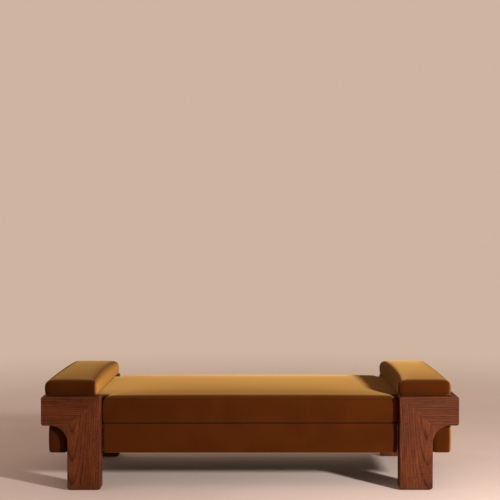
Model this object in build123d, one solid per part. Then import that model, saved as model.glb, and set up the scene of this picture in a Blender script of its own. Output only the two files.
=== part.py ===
from build123d import *
import os
from math import hypot

# A low upholstered daybed.  Four heavy leg-and-arm frames stand at the corners, an
# end rail joins each pair at arm height, and an upholstered box base hangs between
# them.  A loose mattress lies on the base and a loose bolster lies on each end.
#
# Millimetres.  X runs along the length, Y from the front (-Y) to the back (+Y),
# Z up.  The origin is on the floor, below the middle of the daybed.

# ---------------------------------------------------------------- driving sizes
overall_length = 2000.0  # arm end to arm end
overall_depth = 900.0  # front leg face to back leg face
arm_top = 450.0  # floor to the top of the arms and end rails

stock = 75.0  # thickness of the leg, arm and end rail timber
leg_width = 160.0
arm_height = 140.0
overhang = 125.0  # how far an arm runs out past its leg
arch_radius = 85.0  # hollow quarter arch between leg and arm
corner_radius = 12.0  # corners of the frame's outline
face_round = 5.0  # rounded edge of an outer face
joint_round = 1.5  # slightly eased edge of an inner face, at the glued joints

glide_height = 3.0
glide_radius = 15.0
glide_spacing = 90.0
glide_stem_radius = 3.0
glide_stem_length = 18.0

base_height = 134.0
base_gap = 3.0  # between the base and the arms above it
pad_rise = 11.0  # long pads stand this far above the deck, in front of and behind the rails
base_inset = 30.0  # base end behind the arm end
velvet_recess = 35.0  # upholstered face behind the leg face
end_pad = 40.0  # padding on the base's ends
leg_gap = 4.0  # upholstery to the side of a leg
skin = 2.0  # velvet with its lining
pad_corner = 12.0  # upright corners of the base's padding

rail_thickness = 30.0
under_rail = 3.0  # rail's lower edge above the base's lower face
deck_thickness = 3.0  # border and cloth on top of the slats
border_width = 90.0
dust_cover_thickness = 1.0

slat_count = 15
slat_width = 70.0
slat_thickness = 18.0
slat_end_gap = 1.0
slat_margin = 10.0
bearer_width = 25.0
bearer_height = 30.0
tie_height = 74.0
tie_spacing = 450.0
corner_block = 50.0
corner_block_drop = 6.0  # below the slat bearers

bolt_radius = 4.0
bolt_head_flats = 13.0
bolt_head_height = 5.3
bolt_grip = 18.0  # engaged in the insert
bolt_margin = 45.0  # bolts in from a leg's sides
bolt_low = 32.0  # lower bolts above the base's lower face
bolt_spacing_z = 36.0
washer_radius = 11.0
washer_thickness = 2.0
insert_radius = 6.0
insert_length = 20.0
insert_room = 5.0  # hole past the end of the insert
bolt_hole_clearance = 0.5

screw_radius = 2.5
screw_head_radius = 5.0
screw_head_height = 3.0
frame_screw_length = 70.0
frame_screw_spacing = 50.0
slat_screw_length = 36.0

tenon_length = 60.0
tenon_width = 38.0
tenon_thickness = 12.0
tenon_room = 1.0  # glue room past each end
tenon_places = (0.32, 0.66)  # along the mitre, from the arch to the top corner
dowel_radius = 5.0
rail_dowel_length = 80.0
rail_dowel_spacing = 70.0
bracket_dowel_radius = 4.0
bracket_dowel_length = 30.0
bracket_dowel_drop = 14.0
bracket_dowel_spacing = 36.0

lie_gap = 0.3  # a loose cushion above what it lies on
mattress_below_arm = 2.0
mattress_side_gap = 4.0
mattress_step_gap = 2.0  # mattress behind the inner faces of the raised long pads
mattress_corner = 14.0
mattress_edge = 12.0
mattress_inside_corner = 5.0
mattress_zip_length = 1200.0

bolster_inner = 7.0  # bolster's inner side past the leg's inner side
bolster_inset = 24.0  # bolster's outer side behind the arm end
bolster_recess = 28.0  # bolster's ends behind the leg faces
bolster_height = 88.0
bolster_corner = 34.0
bolster_edge = 30.0
bolster_zip_length = 170.0

zip_width = 8.0
zip_thickness = 1.5
zip_height = 32.0  # mattress zip above its lower face
pull_length = 22.0
pull_width = 6.0

# --------------------------------------------------------------- derived places
arm_end = overall_length / 2
leg_out = arm_end - overhang
leg_in = leg_out - leg_width
leg_middle = (leg_in + leg_out) / 2
face_y = overall_depth / 2  # outer faces of the legs
back_y = face_y - stock  # inner faces of the legs
stock_middle = (face_y + back_y) / 2
arm_under = arm_top - arm_height
arch_bottom = arm_under - arch_radius

base_top = arm_under - base_gap
base_bottom = base_top - base_height
base_end = arm_end - base_inset
velvet_y = face_y - velvet_recess
pad_inner = leg_in - leg_gap  # long pads end here
pad_outer = leg_out + leg_gap  # end pads start here

rail_end = base_end - end_pad
rail_in_y = back_y - rail_thickness
rail_bottom = base_bottom + under_rail
rail_top = base_top - deck_thickness
slat_bottom = rail_top - slat_thickness
bearer_bottom = slat_bottom - bearer_height
tie_bottom = bearer_bottom - tie_height
end_rail_inner = arm_end - stock
box_in_x = rail_end - rail_thickness

mattress_bottom = base_top + lie_gap
mattress_top = arm_top - mattress_below_arm
bolster_bottom = arm_top + lie_gap

sides = {"left": -1, "right": 1}
rows = {"front": -1, "back": 1}
parts = {}


# ---------------------------------------------------------------------- helpers
def block(x0, x1, y0, y1, z0, z1):
    """A box between two corners."""
    middle = Pos((x0 + x1) / 2, (y0 + y1) / 2, (z0 + z1) / 2)
    return middle * Box(abs(x1 - x0), abs(y1 - y0), abs(z1 - z0))


def placed(shape, side, row):
    """A piece drawn for the right front corner, mirrored to another corner."""
    if side < 0:
        shape = mirror(shape, about=Plane.YZ)
    if row > 0:
        shape = mirror(shape, about=Plane.XZ)
    return shape


def rod(start, direction, radius, length):
    """A round bar from a point along a direction."""
    plane = Plane(origin=start, z_dir=direction)
    return extrude(plane * Circle(radius), amount=length)


def group(solids):
    """Separate solids of one kind, kept in one node."""
    return Compound([piece for solid in solids for piece in solid.solids()])


def corner_face(points, rounded):
    """A closed outline whose corners are rounded by a radius each (0 leaves one sharp)."""
    face = Face(Wire.make_polygon([Vector(x, y) for x, y in points], close=True))
    for radius in sorted(set(rounded)):
        if radius > 0:
            wanted = [p for p, r in zip(points, rounded) if r == radius]
            corners = [
                v for v in face.vertices() if any(hypot(v.X - x, v.Y - y) < 0.01 for x, y in wanted)
            ]
            face = face.fillet_2d(radius, corners)
    return face


# ------------------------------------------------------- leg and arm end frames
def end_frame_blank():
    """Outline of leg, arm and arch in one, with its edges rounded."""
    arch_end = leg_out + arch_radius
    bend = arch_radius * (1 - 0.5**0.5)
    straight = [
        ((leg_out + arch_radius, arm_under), (arm_end, arm_under)),
        ((arm_end, arm_under), (arm_end, arm_top)),
        ((arm_end, arm_top), (leg_in, arm_top)),
        ((leg_in, arm_top), (leg_in, glide_height)),
        ((leg_in, glide_height), (leg_out, glide_height)),
        ((leg_out, glide_height), (leg_out, arch_bottom)),
    ]
    edges = [Edge.make_line(Vector(*a), Vector(*b)) for a, b in straight]
    arch = Edge.make_three_point_arc(
        Vector(leg_out, arch_bottom),
        Vector(leg_out + bend, arm_under - bend),
        Vector(arch_end, arm_under),
    )
    outline = Face(Wire(edges + [arch]))
    sharp = [(a, b) for a in (leg_in, leg_out) for b in (glide_height,)]
    sharp += [(leg_in, arm_top), (arm_end, arm_top), (arm_end, arm_under)]
    corners = [
        v for v in outline.vertices() if any(hypot(v.X - x, v.Y - z) < 0.01 for x, z in sharp)
    ]
    outline = outline.fillet_2d(corner_radius, corners)
    plane = Plane(origin=(0, -back_y, 0), x_dir=(1, 0, 0), z_dir=(0, -1, 0))
    blank = extrude(plane * outline, amount=stock)
    blank = fillet(blank.faces().sort_by(Axis.Y)[0].edges(), face_round)
    return fillet(blank.faces().sort_by(Axis.Y)[-1].edges(), joint_round)


def prism(points):
    """Room in X and Z that one piece of the end frame is cut out of."""
    plane = Plane(origin=(0, -back_y + stock, 0), x_dir=(1, 0, 0), z_dir=(0, -1, 0))
    face = Face(Wire.make_polygon([Vector(x, z) for x, z in points], close=True))
    return extrude(plane * face, amount=3 * stock)


def mitre_tenon(place, room=0.0):
    """Loose tenon across the mitre, or with room its mortise."""
    run = Vector(leg_in - leg_out, 0, arm_top - arm_under)
    middle = Vector(leg_out, -stock_middle, arm_under) + run * place
    across = Vector(run.Z, 0, -run.X).normalized()
    half = tenon_length / 2 + room
    plane = Plane(origin=middle - across * half, x_dir=run.normalized(), z_dir=across)
    return extrude(plane * SlotOverall(tenon_width, tenon_thickness), amount=2 * half)


def bracket_dowel(y, room=0.0):
    """Dowel between leg and arch bracket."""
    start = Vector(leg_out - bracket_dowel_length / 2 - room, y, arm_under - bracket_dowel_drop)
    return rod(start, (1, 0, 0), bracket_dowel_radius, bracket_dowel_length + 2 * room)


def rail_dowel(z, room=0.0):
    """Dowel between arm and end rail."""
    x = (end_rail_inner + arm_end) / 2
    start = Vector(x, -back_y - rail_dowel_length / 2 - room, z)
    return rod(start, (0, 1, 0), dowel_radius, rail_dowel_length + 2 * room)


def glide(x, room=0.0):
    """Nylon glide: a disc on the floor and a stem up into the leg."""
    stem = rod((x, -stock_middle, glide_height), (0, 0, 1), glide_stem_radius, glide_stem_length + room)
    if room:
        return stem
    return rod((x, -stock_middle, 0), (0, 0, 1), glide_radius, glide_height) + stem


def leg_bolt_places():
    """X and Z of the four bolts that hold a leg to the base rail."""
    low = base_bottom + bolt_low
    return [
        (leg_middle + dx * (leg_width / 2 - bolt_margin), z)
        for dx in (-1, 1)
        for z in (low, low + bolt_spacing_z)
    ]


def leg_bolt(x, z):
    """Hexagon bolt from inside the base, through the rail, into the leg."""
    head_y = -rail_in_y + washer_thickness
    length = washer_thickness + rail_thickness + bolt_grip
    plane = Plane(origin=(x, head_y, z), z_dir=(0, 1, 0))
    head = extrude(
        plane * RegularPolygon(bolt_head_flats / 2, 6, major_radius=False), amount=bolt_head_height
    )
    return head + rod((x, head_y, z), (0, -1, 0), bolt_radius, length)


def leg_bolt_washer(x, z):
    disc = rod((x, -rail_in_y, z), (0, 1, 0), washer_radius, washer_thickness)
    hole = rod((x, -rail_in_y, z), (0, 1, 0), bolt_radius + bolt_hole_clearance, washer_thickness)
    return disc - hole


def leg_bolt_insert(x, z):
    sleeve = rod((x, -back_y, z), (0, -1, 0), insert_radius, insert_length)
    return sleeve - rod((x, -back_y, z), (0, -1, 0), bolt_radius, insert_length)


def insert_hole(x, z):
    return rod((x, -back_y, z), (0, -1, 0), insert_radius, insert_length + insert_room)


dowel_zs = [
    (arm_top + arm_under) / 2 - rail_dowel_spacing / 2,
    (arm_top + arm_under) / 2 + rail_dowel_spacing / 2,
]
bracket_ys = [
    -stock_middle - bracket_dowel_spacing / 2,
    -stock_middle + bracket_dowel_spacing / 2,
]
glide_xs = [leg_middle - glide_spacing / 2, leg_middle + glide_spacing / 2]


def end_frame():
    """Leg, arm and arch bracket of the right front corner, mortised and drilled."""
    blank = end_frame_blank()
    past = 1.5
    high = (leg_out + past * (leg_in - leg_out), arm_under + past * arm_height)
    low = -arm_top
    leg = blank & prism([(leg_out, low), (leg_out, arm_under), high, (high[0], low)])
    arm = blank & prism(
        [(leg_out, arm_under), (2 * arm_end, arm_under), (2 * arm_end, high[1]), high]
    )
    bracket = blank & prism(
        [(leg_out, low), (2 * arm_end, low), (2 * arm_end, arm_under), (leg_out, arm_under)]
    )
    for place in tenon_places:
        mortise = mitre_tenon(place, tenon_room)
        leg -= mortise
        arm -= mortise
    for y in bracket_ys:
        hole = bracket_dowel(y, tenon_room)
        leg -= hole
        bracket -= hole
    for z in dowel_zs:
        arm -= rail_dowel(z, tenon_room)
    for x in glide_xs:
        leg -= glide(x, tenon_room)
    for x, z in leg_bolt_places():
        leg -= insert_hole(x, z)
    return leg, arm, bracket


def end_rail():
    """Rail across the right end at arm height, between the two arms."""
    face = corner_face(
        [(end_rail_inner, arm_under), (arm_end, arm_under), (arm_end, arm_top), (end_rail_inner, arm_top)],
        [face_round, corner_radius, corner_radius, face_round],
    )
    plane = Plane(origin=(0, back_y, 0), x_dir=(1, 0, 0), z_dir=(0, -1, 0))
    rail = extrude(plane * face, amount=2 * back_y)
    for end in (0, -1):
        rail = fillet(rail.faces().sort_by(Axis.Y)[end].edges(), joint_round)
    for z in dowel_zs:
        hole = rail_dowel(z, tenon_room)
        rail -= hole
        rail -= mirror(hole, about=Plane.XZ)
    return rail


# ------------------------------------------------------------------- base frame
def countersunk_screw(start, direction, length):
    """Screw with a countersunk head whose top is at the start."""
    cone = Plane(origin=start, z_dir=direction) * Cone(
        screw_head_radius,
        screw_radius,
        screw_head_height,
        align=(Align.CENTER, Align.CENTER, Align.MIN),
    )
    return cone + rod(start, direction, screw_radius, length)


def frame_screw_places():
    """X and Z of the screws through a long rail into the ties and end rails."""
    tie_middle = tie_bottom + tie_height / 2
    end_middle = (rail_bottom + rail_top) / 2
    places = []
    for x in (-tie_spacing, 0, tie_spacing):
        places += [(x, tie_middle + s * frame_screw_spacing / 2) for s in (-1, 1)]
    for x in (box_in_x + rail_thickness / 2, -box_in_x - rail_thickness / 2):
        places += [(x, end_middle + s * frame_screw_spacing / 2) for s in (-1, 1)]
    return places


def frame_screws():
    """Screws of the front rail."""
    return [
        countersunk_screw((x, -back_y, z), (0, 1, 0), frame_screw_length)
        for x, z in frame_screw_places()
    ]


def long_rail(screws):
    """Front rail of the base, drilled for the leg bolts and the screws."""
    rail = block(-rail_end, rail_end, -back_y, -rail_in_y, rail_bottom, rail_top)
    hole = bolt_radius + bolt_hole_clearance
    for x, z in leg_bolt_places():
        for side in sides.values():
            rail -= rod((side * x, -back_y, z), (0, 1, 0), hole, rail_thickness)
    for screw in screws:
        rail -= screw
    return rail


def screwed(piece, screws):
    """A piece between the long rails, with the screws' holes in both of its ends."""
    for screw in screws:
        piece -= screw
        piece -= mirror(screw, about=Plane.XZ)
    return piece


def slat_xs():
    """Middles of the slats, evenly spread between the end rails."""
    first = -box_in_x + slat_margin + slat_width / 2
    pitch = -2 * first / (slat_count - 1)
    return [first + i * pitch for i in range(slat_count)]


def slat_screws():
    """One screw down through each end of each slat."""
    y = rail_in_y - bearer_width / 2
    return [
        countersunk_screw((x, row * y, rail_top), (0, 0, -1), slat_screw_length)
        for x in slat_xs()
        for row in rows.values()
    ]


def corner_blocks():
    """Triangular blocks glued into the corners of the base frame."""
    face = corner_face(
        [(box_in_x, -rail_in_y), (box_in_x, -rail_in_y + corner_block), (box_in_x - corner_block, -rail_in_y)],
        [0, 0, 0],
    )
    height = tie_height - corner_block_drop
    one = extrude(Pos(0, 0, tie_bottom) * face, amount=height)
    return [placed(one, side, row) for side in sides.values() for row in rows.values()]


def deck_border():
    """Velvet strips round the edge of the deck."""
    inner_x = rail_end - border_width
    inner_y = back_y - border_width
    strips = []
    for s in (-1, 1):
        strips.append(block(-rail_end, rail_end, s * back_y, s * inner_y, rail_top, base_top))
        strips.append(block(s * inner_x, s * rail_end, -inner_y, inner_y, rail_top, base_top))
    return strips


# --------------------------------------------------------------- base padding
def long_pad(inset):
    """Padding on the front of the base, between the legs."""
    x = pad_inner - inset
    y = velvet_y - inset
    radius = pad_corner - inset
    face = corner_face(
        [(-x, -back_y), (-x, -y), (x, -y), (x, -back_y)],
        [0, radius, radius, 0],
    )
    height = base_height + pad_rise - 2 * inset
    return extrude(Pos(0, 0, base_bottom + inset) * face, amount=height)


def arch_room(inset):
    """Room that the front arch bracket takes out of the end padding."""
    outer = block(leg_out, leg_out + arch_radius, -face_y, -back_y, arch_bottom, arm_under)
    centre = (leg_out + arch_radius, -face_y, arch_bottom)
    return outer - rod(centre, (0, 1, 0), arch_radius - leg_gap - inset, stock)


def end_pad_block(inset):
    """Padding on the right end of the base, turning in to the legs behind each arch."""
    start = pad_outer + inset
    end = base_end - inset
    y = velvet_y - inset
    radius = pad_corner - inset
    face = corner_face(
        [
            (start, -back_y),
            (start, -y),
            (end, -y),
            (end, y),
            (start, y),
            (start, back_y),
            (rail_end, back_y),
            (rail_end, -back_y),
        ],
        [0, radius, radius, radius, radius, 0, 0, 0],
    )
    height = base_height - 2 * inset
    pad = extrude(Pos(0, 0, base_bottom + inset) * face, amount=height)
    room = arch_room(inset)
    return pad - room - mirror(room, about=Plane.XZ)


# --------------------------------------------------------------- loose cushions
def mattress_block(inset):
    """Mattress: fills the space between the end rails and reaches out between the legs.

    Where it reaches out, its underside steps up over the long pads of the base.
    """
    a = leg_in - mattress_side_gap - inset
    b = end_rail_inner - mattress_side_gap - inset
    c = back_y - mattress_side_gap - inset
    d = velvet_y - inset
    out = mattress_corner - inset
    into = mattress_inside_corner + inset
    quarter = [(a, -d, out), (a, -c, into), (b, -c, out)]
    ring = quarter + [(x, -y, r) for x, y, r in reversed(quarter)]
    ring += [(-x, -y, r) for x, y, r in quarter]
    ring += [(-x, y, r) for x, y, r in reversed(quarter)]
    face = corner_face([(x, y) for x, y, r in ring], [r for x, y, r in ring])
    height = mattress_top - mattress_bottom - 2 * inset
    solid = extrude(Pos(0, 0, mattress_bottom + inset) * face, amount=height)
    for end in (0, -1):
        solid = fillet(solid.faces().sort_by(Axis.Z)[end].edges(), mattress_edge - inset)
    step = back_y - mattress_step_gap - inset
    for row in (-1, 1):
        solid -= block(
            -a - face_y,
            a + face_y,
            row * step,
            row * face_y,
            mattress_bottom - lie_gap,
            mattress_bottom + pad_rise + inset,
        )
    return solid


bolster_x0 = leg_in + bolster_inner
bolster_x1 = arm_end - bolster_inset
bolster_y = face_y - bolster_recess


def bolster_block(inset):
    """Right bolster: a flat cushion with soft edges."""
    width = bolster_x1 - bolster_x0 - 2 * inset
    depth = 2 * (bolster_y - inset)
    middle = Pos((bolster_x0 + bolster_x1) / 2, 0, bolster_bottom + inset)
    face = middle * RectangleRounded(width, depth, bolster_corner - inset)
    solid = extrude(face, amount=bolster_height - 2 * inset)
    for end in (0, -1):
        solid = fillet(solid.faces().sort_by(Axis.Z)[end].edges(), bolster_edge - inset)
    return solid


def zip_strip(x0, x1, y, z):
    """Zip along the back face of a cushion."""
    return block(x0, x1, y, y + zip_thickness, z - zip_width / 2, z + zip_width / 2)


def zip_pull(x, y, z):
    """Pull hanging from one end of a zip."""
    front = y + zip_thickness
    tab = block(x - pull_width, x, front, front + zip_thickness, z - pull_length, z)
    return fillet(tab.edges().filter_by(Axis.Y), pull_width / 4)


# -------------------------------------------------------------------- the parts
leg, arm, bracket = end_frame()
rail = end_rail()
for side_name, side in sides.items():
    for row_name, row in rows.items():
        corner = f"{row_name}_{side_name}"
        parts[f"leg_{corner}"] = placed(leg, side, row)
        parts[f"arm_{corner}"] = placed(arm, side, row)
        parts[f"arch_bracket_{corner}"] = placed(bracket, side, row)
    parts[f"end_rail_{side_name}"] = placed(rail, side, -1)


def at_corners(solids):
    """Copies of the right front corner's pieces at all four corners."""
    return group(
        placed(solid, side, row)
        for solid in solids
        for side in sides.values()
        for row in rows.values()
    )


parts["mitre_tenons"] = at_corners([mitre_tenon(place) for place in tenon_places])
parts["bracket_dowels"] = at_corners([bracket_dowel(y) for y in bracket_ys])
parts["rail_dowels"] = at_corners([rail_dowel(z) for z in dowel_zs])
parts["glides"] = at_corners([glide(x) for x in glide_xs])
parts["leg_bolts"] = at_corners([leg_bolt(x, z) for x, z in leg_bolt_places()])
parts["leg_bolt_washers"] = at_corners([leg_bolt_washer(x, z) for x, z in leg_bolt_places()])
parts["leg_bolt_inserts"] = at_corners([leg_bolt_insert(x, z) for x, z in leg_bolt_places()])

screws = frame_screws()
parts["base_rail_front"] = long_rail(screws)
parts["base_rail_back"] = mirror(parts["base_rail_front"], about=Plane.XZ)
for side_name, side in sides.items():
    across = block(side * box_in_x, side * rail_end, -rail_in_y, rail_in_y, rail_bottom, rail_top)
    parts[f"base_rail_{side_name}"] = screwed(across, screws)
for tie_name, x in (("left", -tie_spacing), ("middle", 0.0), ("right", tie_spacing)):
    x0 = x - rail_thickness / 2
    tie = block(x0, x0 + rail_thickness, -rail_in_y, rail_in_y, tie_bottom, bearer_bottom)
    parts[f"cross_tie_{tie_name}"] = screwed(tie, screws)
parts["frame_screws"] = group(screws + [mirror(s, about=Plane.XZ) for s in screws])
parts["corner_blocks"] = group(corner_blocks())

slat_fixings = slat_screws()
for row_name, row in rows.items():
    y0 = row * rail_in_y
    y1 = row * (rail_in_y - bearer_width)
    bearer = block(-box_in_x, box_in_x, y0, y1, bearer_bottom, slat_bottom)
    for screw in slat_fixings:
        bearer -= screw
    parts[f"slat_bearer_{row_name}"] = bearer
slats = []
for i, x in enumerate(slat_xs()):
    x0 = x - slat_width / 2
    y = rail_in_y - slat_end_gap
    slat = block(x0, x0 + slat_width, -y, y, slat_bottom, rail_top)
    for screw in slat_fixings[2 * i : 2 * i + 2]:
        slat -= screw
    slats.append(slat)
parts["slats"] = group(slats)
parts["slat_screws"] = group(slat_fixings)

cloth_x = rail_end - border_width
cloth_y = back_y - border_width
parts["deck_border"] = group(deck_border())
parts["deck_cloth"] = block(-cloth_x, cloth_x, -cloth_y, cloth_y, rail_top, base_top)
dust_top = rail_bottom
parts["dust_cover"] = block(
    -rail_end, rail_end, -back_y, back_y, dust_top - dust_cover_thickness, dust_top
)

front_foam = long_pad(skin)
front_cover = long_pad(0) - front_foam
parts["base_foam_front"] = front_foam
parts["base_cover_front"] = front_cover
parts["base_foam_back"] = mirror(front_foam, about=Plane.XZ)
parts["base_cover_back"] = mirror(front_cover, about=Plane.XZ)
end_foam = end_pad_block(skin)
end_cover = end_pad_block(0) - end_foam
for side_name, side in sides.items():
    parts[f"base_foam_{side_name}"] = placed(end_foam, side, -1)
    parts[f"base_cover_{side_name}"] = placed(end_cover, side, -1)

mattress_core = mattress_block(skin)
parts["mattress_core"] = mattress_core
parts["mattress_cover"] = mattress_block(0) - mattress_core
zip_z = mattress_bottom + zip_height
zip_x = mattress_zip_length / 2
parts["mattress_zip"] = zip_strip(-zip_x, zip_x, velvet_y, zip_z)
parts["mattress_zip_pull"] = zip_pull(zip_x, velvet_y, zip_z)

bolster_core = bolster_block(skin)
bolster_cover = bolster_block(0) - bolster_core
bolster_middle = (bolster_x0 + bolster_x1) / 2
bolster_zip_x = bolster_middle + bolster_zip_length / 2
bolster_zip_z = bolster_bottom + bolster_height / 2
bolster_zip = zip_strip(
    bolster_zip_x - bolster_zip_length, bolster_zip_x, bolster_y, bolster_zip_z
)
bolster_pull = zip_pull(bolster_zip_x, bolster_y, bolster_zip_z)
for side_name, side in sides.items():
    parts[f"bolster_core_{side_name}"] = placed(bolster_core, side, -1)
    parts[f"bolster_cover_{side_name}"] = placed(bolster_cover, side, -1)
    parts[f"bolster_zip_{side_name}"] = placed(bolster_zip, side, -1)
    parts[f"bolster_zip_pull_{side_name}"] = placed(bolster_pull, side, -1)

os.makedirs("parts", exist_ok=True)
for name, shape in parts.items():
    export_step(shape, f"parts/{name}.step")
print(len(parts), "parts written")
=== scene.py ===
# %% [markdown]
# # A low velvet daybed, piece by piece
#
# The real thing is a bench-like bed: four thick timber corners, a box base covered in
# velvet, one loose mattress and a flat bolster lying on each end.  The timber already
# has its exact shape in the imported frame, so this script gives it a finish.  Everything
# soft is drawn here, because upholstery is never as square as the block it stands for.

# %% Load the frame
import math

import bmesh
import bpy
import numpy as np
from mathutils import Euler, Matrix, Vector
from mathutils.bvhtree import BVHTree


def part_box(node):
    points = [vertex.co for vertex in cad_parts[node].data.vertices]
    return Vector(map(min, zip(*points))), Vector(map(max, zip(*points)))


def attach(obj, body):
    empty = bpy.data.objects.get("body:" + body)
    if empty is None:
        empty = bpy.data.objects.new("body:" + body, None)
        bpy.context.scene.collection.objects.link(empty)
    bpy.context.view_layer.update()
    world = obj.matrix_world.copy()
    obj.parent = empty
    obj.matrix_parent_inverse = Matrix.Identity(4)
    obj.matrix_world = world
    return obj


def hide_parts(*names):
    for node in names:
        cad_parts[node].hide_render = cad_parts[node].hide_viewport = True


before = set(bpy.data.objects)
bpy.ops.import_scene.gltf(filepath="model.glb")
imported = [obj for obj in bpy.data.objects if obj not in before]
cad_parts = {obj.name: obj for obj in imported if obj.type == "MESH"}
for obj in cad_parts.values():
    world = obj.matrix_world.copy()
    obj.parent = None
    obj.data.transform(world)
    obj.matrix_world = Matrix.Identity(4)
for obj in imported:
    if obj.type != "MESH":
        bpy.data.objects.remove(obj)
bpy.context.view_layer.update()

# %% [markdown]
# ## Places and sizes
#
# A maker measures the soft pieces off the timber they fit.  Each box below is read from
# the frame, in metres, so the cushions always lie where the frame says.

# %% Measure the frame
SIDES = {"left": -1, "right": 1}
ROWS = {"front": -1, "back": 1}
leg_low, leg_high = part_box("leg_front_right")
arm_low, arm_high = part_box("arm_front_right")
rail_low, rail_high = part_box("end_rail_right")
mattress_low, mattress_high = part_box("mattress_cover")
bolster_low, bolster_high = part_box("bolster_cover_right")
long_low, long_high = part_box("base_cover_front")
end_low, end_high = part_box("base_cover_right")
bracket_low, bracket_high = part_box("arch_bracket_front_right")
MM = 0.001
leg_face = -leg_low.y
leg_back = -leg_high.y
print("leg face at", round(leg_face, 3), "velvet face at", round(-mattress_low.y, 3))

# %% [markdown]
# ## Small helpers for materials
#
# A material is a chain of nodes.  `put` adds one node and wires it in a single call,
# `flow` does the same and hands on its first output, and `fill` gives a node its inputs,
# so that each finish below reads like a recipe.

# %% Node helpers
def fill(tree, node, inputs):
    """Wire each named input that is given a socket, and set the others to a value."""
    for key, value in inputs.items():
        socket = node.inputs[key]
        if isinstance(value, bpy.types.NodeSocket):
            tree.links.new(value, socket)
        else:
            socket.default_value = value


def put(tree, kind, inputs=None, **settings):
    """Add a node, set its options and fill its inputs."""
    node = tree.nodes.new(kind)
    for key, value in settings.items():
        setattr(node, key, value)
    fill(tree, node, inputs or {})
    return node


def flow(tree, kind, inputs=None, **settings):
    """Add a node and return its first output."""
    return put(tree, kind, inputs, **settings).outputs[0]


def blend_colours(tree, factor, a, b, kind="MIX"):
    """Mix two colours by a factor."""
    node = put(tree, "ShaderNodeMix", {0: factor, 6: a, 7: b}, data_type="RGBA", blend_type=kind)
    return node.outputs[2]


def maths(tree, kind, a, b=0.0, c=0.0):
    return flow(tree, "ShaderNodeMath", {0: a, 1: b, 2: c}, operation=kind)


def arrows(tree, kind, inputs):
    """Vector arithmetic; SCALE takes its factor as the input "Scale"."""
    return flow(tree, "ShaderNodeVectorMath", inputs, operation=kind)


def number(tree, kind, inputs):
    """Vector arithmetic that gives a plain number."""
    return put(tree, "ShaderNodeVectorMath", inputs, operation=kind).outputs["Value"]


def mapped(tree, vector, **settings):
    """Turn, shift or stretch a vector."""
    return flow(tree, "ShaderNodeMapping", {"Vector": vector, **settings})


def ramp(tree, value, stops, smooth=True):
    """Turn a value into a colour by a list of (place, colour) stops."""
    node = put(tree, "ShaderNodeValToRGB", {0: value})
    node.color_ramp.interpolation = "EASE" if smooth else "LINEAR"
    marks = node.color_ramp.elements
    while len(marks) < len(stops):
        marks.new(0.5)
    for mark, (place, colour) in zip(marks, stops):
        mark.position = place
        mark.color = (*colour, 1.0) if len(colour) == 3 else colour
    return node.outputs[0]


def grey(v):
    return (v, v, v)


def noise(tree, vector, scale, detail=3.0, roughness=0.5, distortion=0.0):
    inputs = {"Scale": scale, "Detail": detail, "Roughness": roughness, "Distortion": distortion}
    return put(tree, "ShaderNodeTexNoise", {"Vector": vector, **inputs}).outputs["Fac"]


def bumped(tree, height, strength, distance):
    """A normal from a height; distance is the depth of the relief in metres."""
    return flow(tree, "ShaderNodeBump", {"Height": height, "Strength": strength, "Distance": distance})


def new_finish(name, seed):
    """A material, its tree, its shader and a vector in metres on the object, shifted by a seed."""
    material = bpy.data.materials.new(name)
    material.use_nodes = True
    tree = material.node_tree
    shader = tree.nodes["Principled BSDF"]
    place = put(tree, "ShaderNodeTexCoord").outputs["Object"]
    shift = tuple(((seed * k) % 7) * 0.37 for k in (1, 3, 5))
    return material, tree, shader, mapped(tree, place, Location=shift)


def dress(names, material):
    """Give CAD nodes a finish without touching their meshes."""
    for name in names:
        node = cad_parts[name]
        node.data.materials.clear()
        node.data.materials.append(material)

# %% [markdown]
# ## Stained timber
#
# The legs, arms and end rails are an open-grained hardwood, stained a dark red brown and
# lacquered to a low sheen.  Real grain is solid: a board is a cut through growth rings,
# so one texture has to give long lines on the faces and arcs on the ends.  That is why
# the rings are drawn in space around the board's own length and not painted on a face.
# The rings' centre leans a few degrees, as it does in a sawn board, and where it comes
# near a face the lines close into the pointed arches that woodworkers call cathedrals.

# %% Grain in space
GRAIN_TURN = {"x": (0, math.radians(90), 0), "y": (math.radians(90), 0, 0), "z": (0, 0, 0)}
GRAIN_STOPS = [
    (0.20, (0.022, 0.0042, 0.0011)),
    (0.50, (0.062, 0.0134, 0.0029)),
    (0.82, (0.104, 0.0262, 0.0060)),
]
PORE = (0.016, 0.0034, 0.0011, 1)
# Painted highlight colour for the rounded edges of the stained timber.
PAINTED_EDGE_HIGHLIGHT = (0.150, 0.043, 0.0115, 1)
RING_SCALE = 31.0
RING_WANDER = 0.016  # metres that the rings stray from round


def along_grain(tree, grain, pith, lean):
    """Vector whose Z runs with the grain, from the rings' centre; pith is a point in the room."""
    place = put(tree, "ShaderNodeTexCoord").outputs["Object"]
    turned = mapped(tree, place, Rotation=GRAIN_TURN[grain])
    turn = Euler(GRAIN_TURN[grain]).to_matrix()
    tilt = Euler(lean).to_matrix()
    shift = -(tilt @ turn @ Vector(pith))
    return mapped(tree, turned, Rotation=lean, Location=shift)


def near_segment(tree, point, a, b):
    """Distance from a point to the straight line between a and b, in the XZ plane."""
    a, b = Vector((a[0], 0, a[1])), Vector((b[0], 0, b[1]))
    run = b - a
    from_a = arrows(tree, "SUBTRACT", {0: point, 1: a})
    share = number(tree, "DOT_PRODUCT", {0: from_a, 1: run / run.length_squared})
    share = flow(tree, "ShaderNodeClamp", {"Value": share})
    foot = arrows(tree, "SCALE", {0: run, "Scale": share})
    rest = arrows(tree, "SUBTRACT", {0: from_a, 1: foot})
    return number(tree, "LENGTH", {0: rest})


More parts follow.
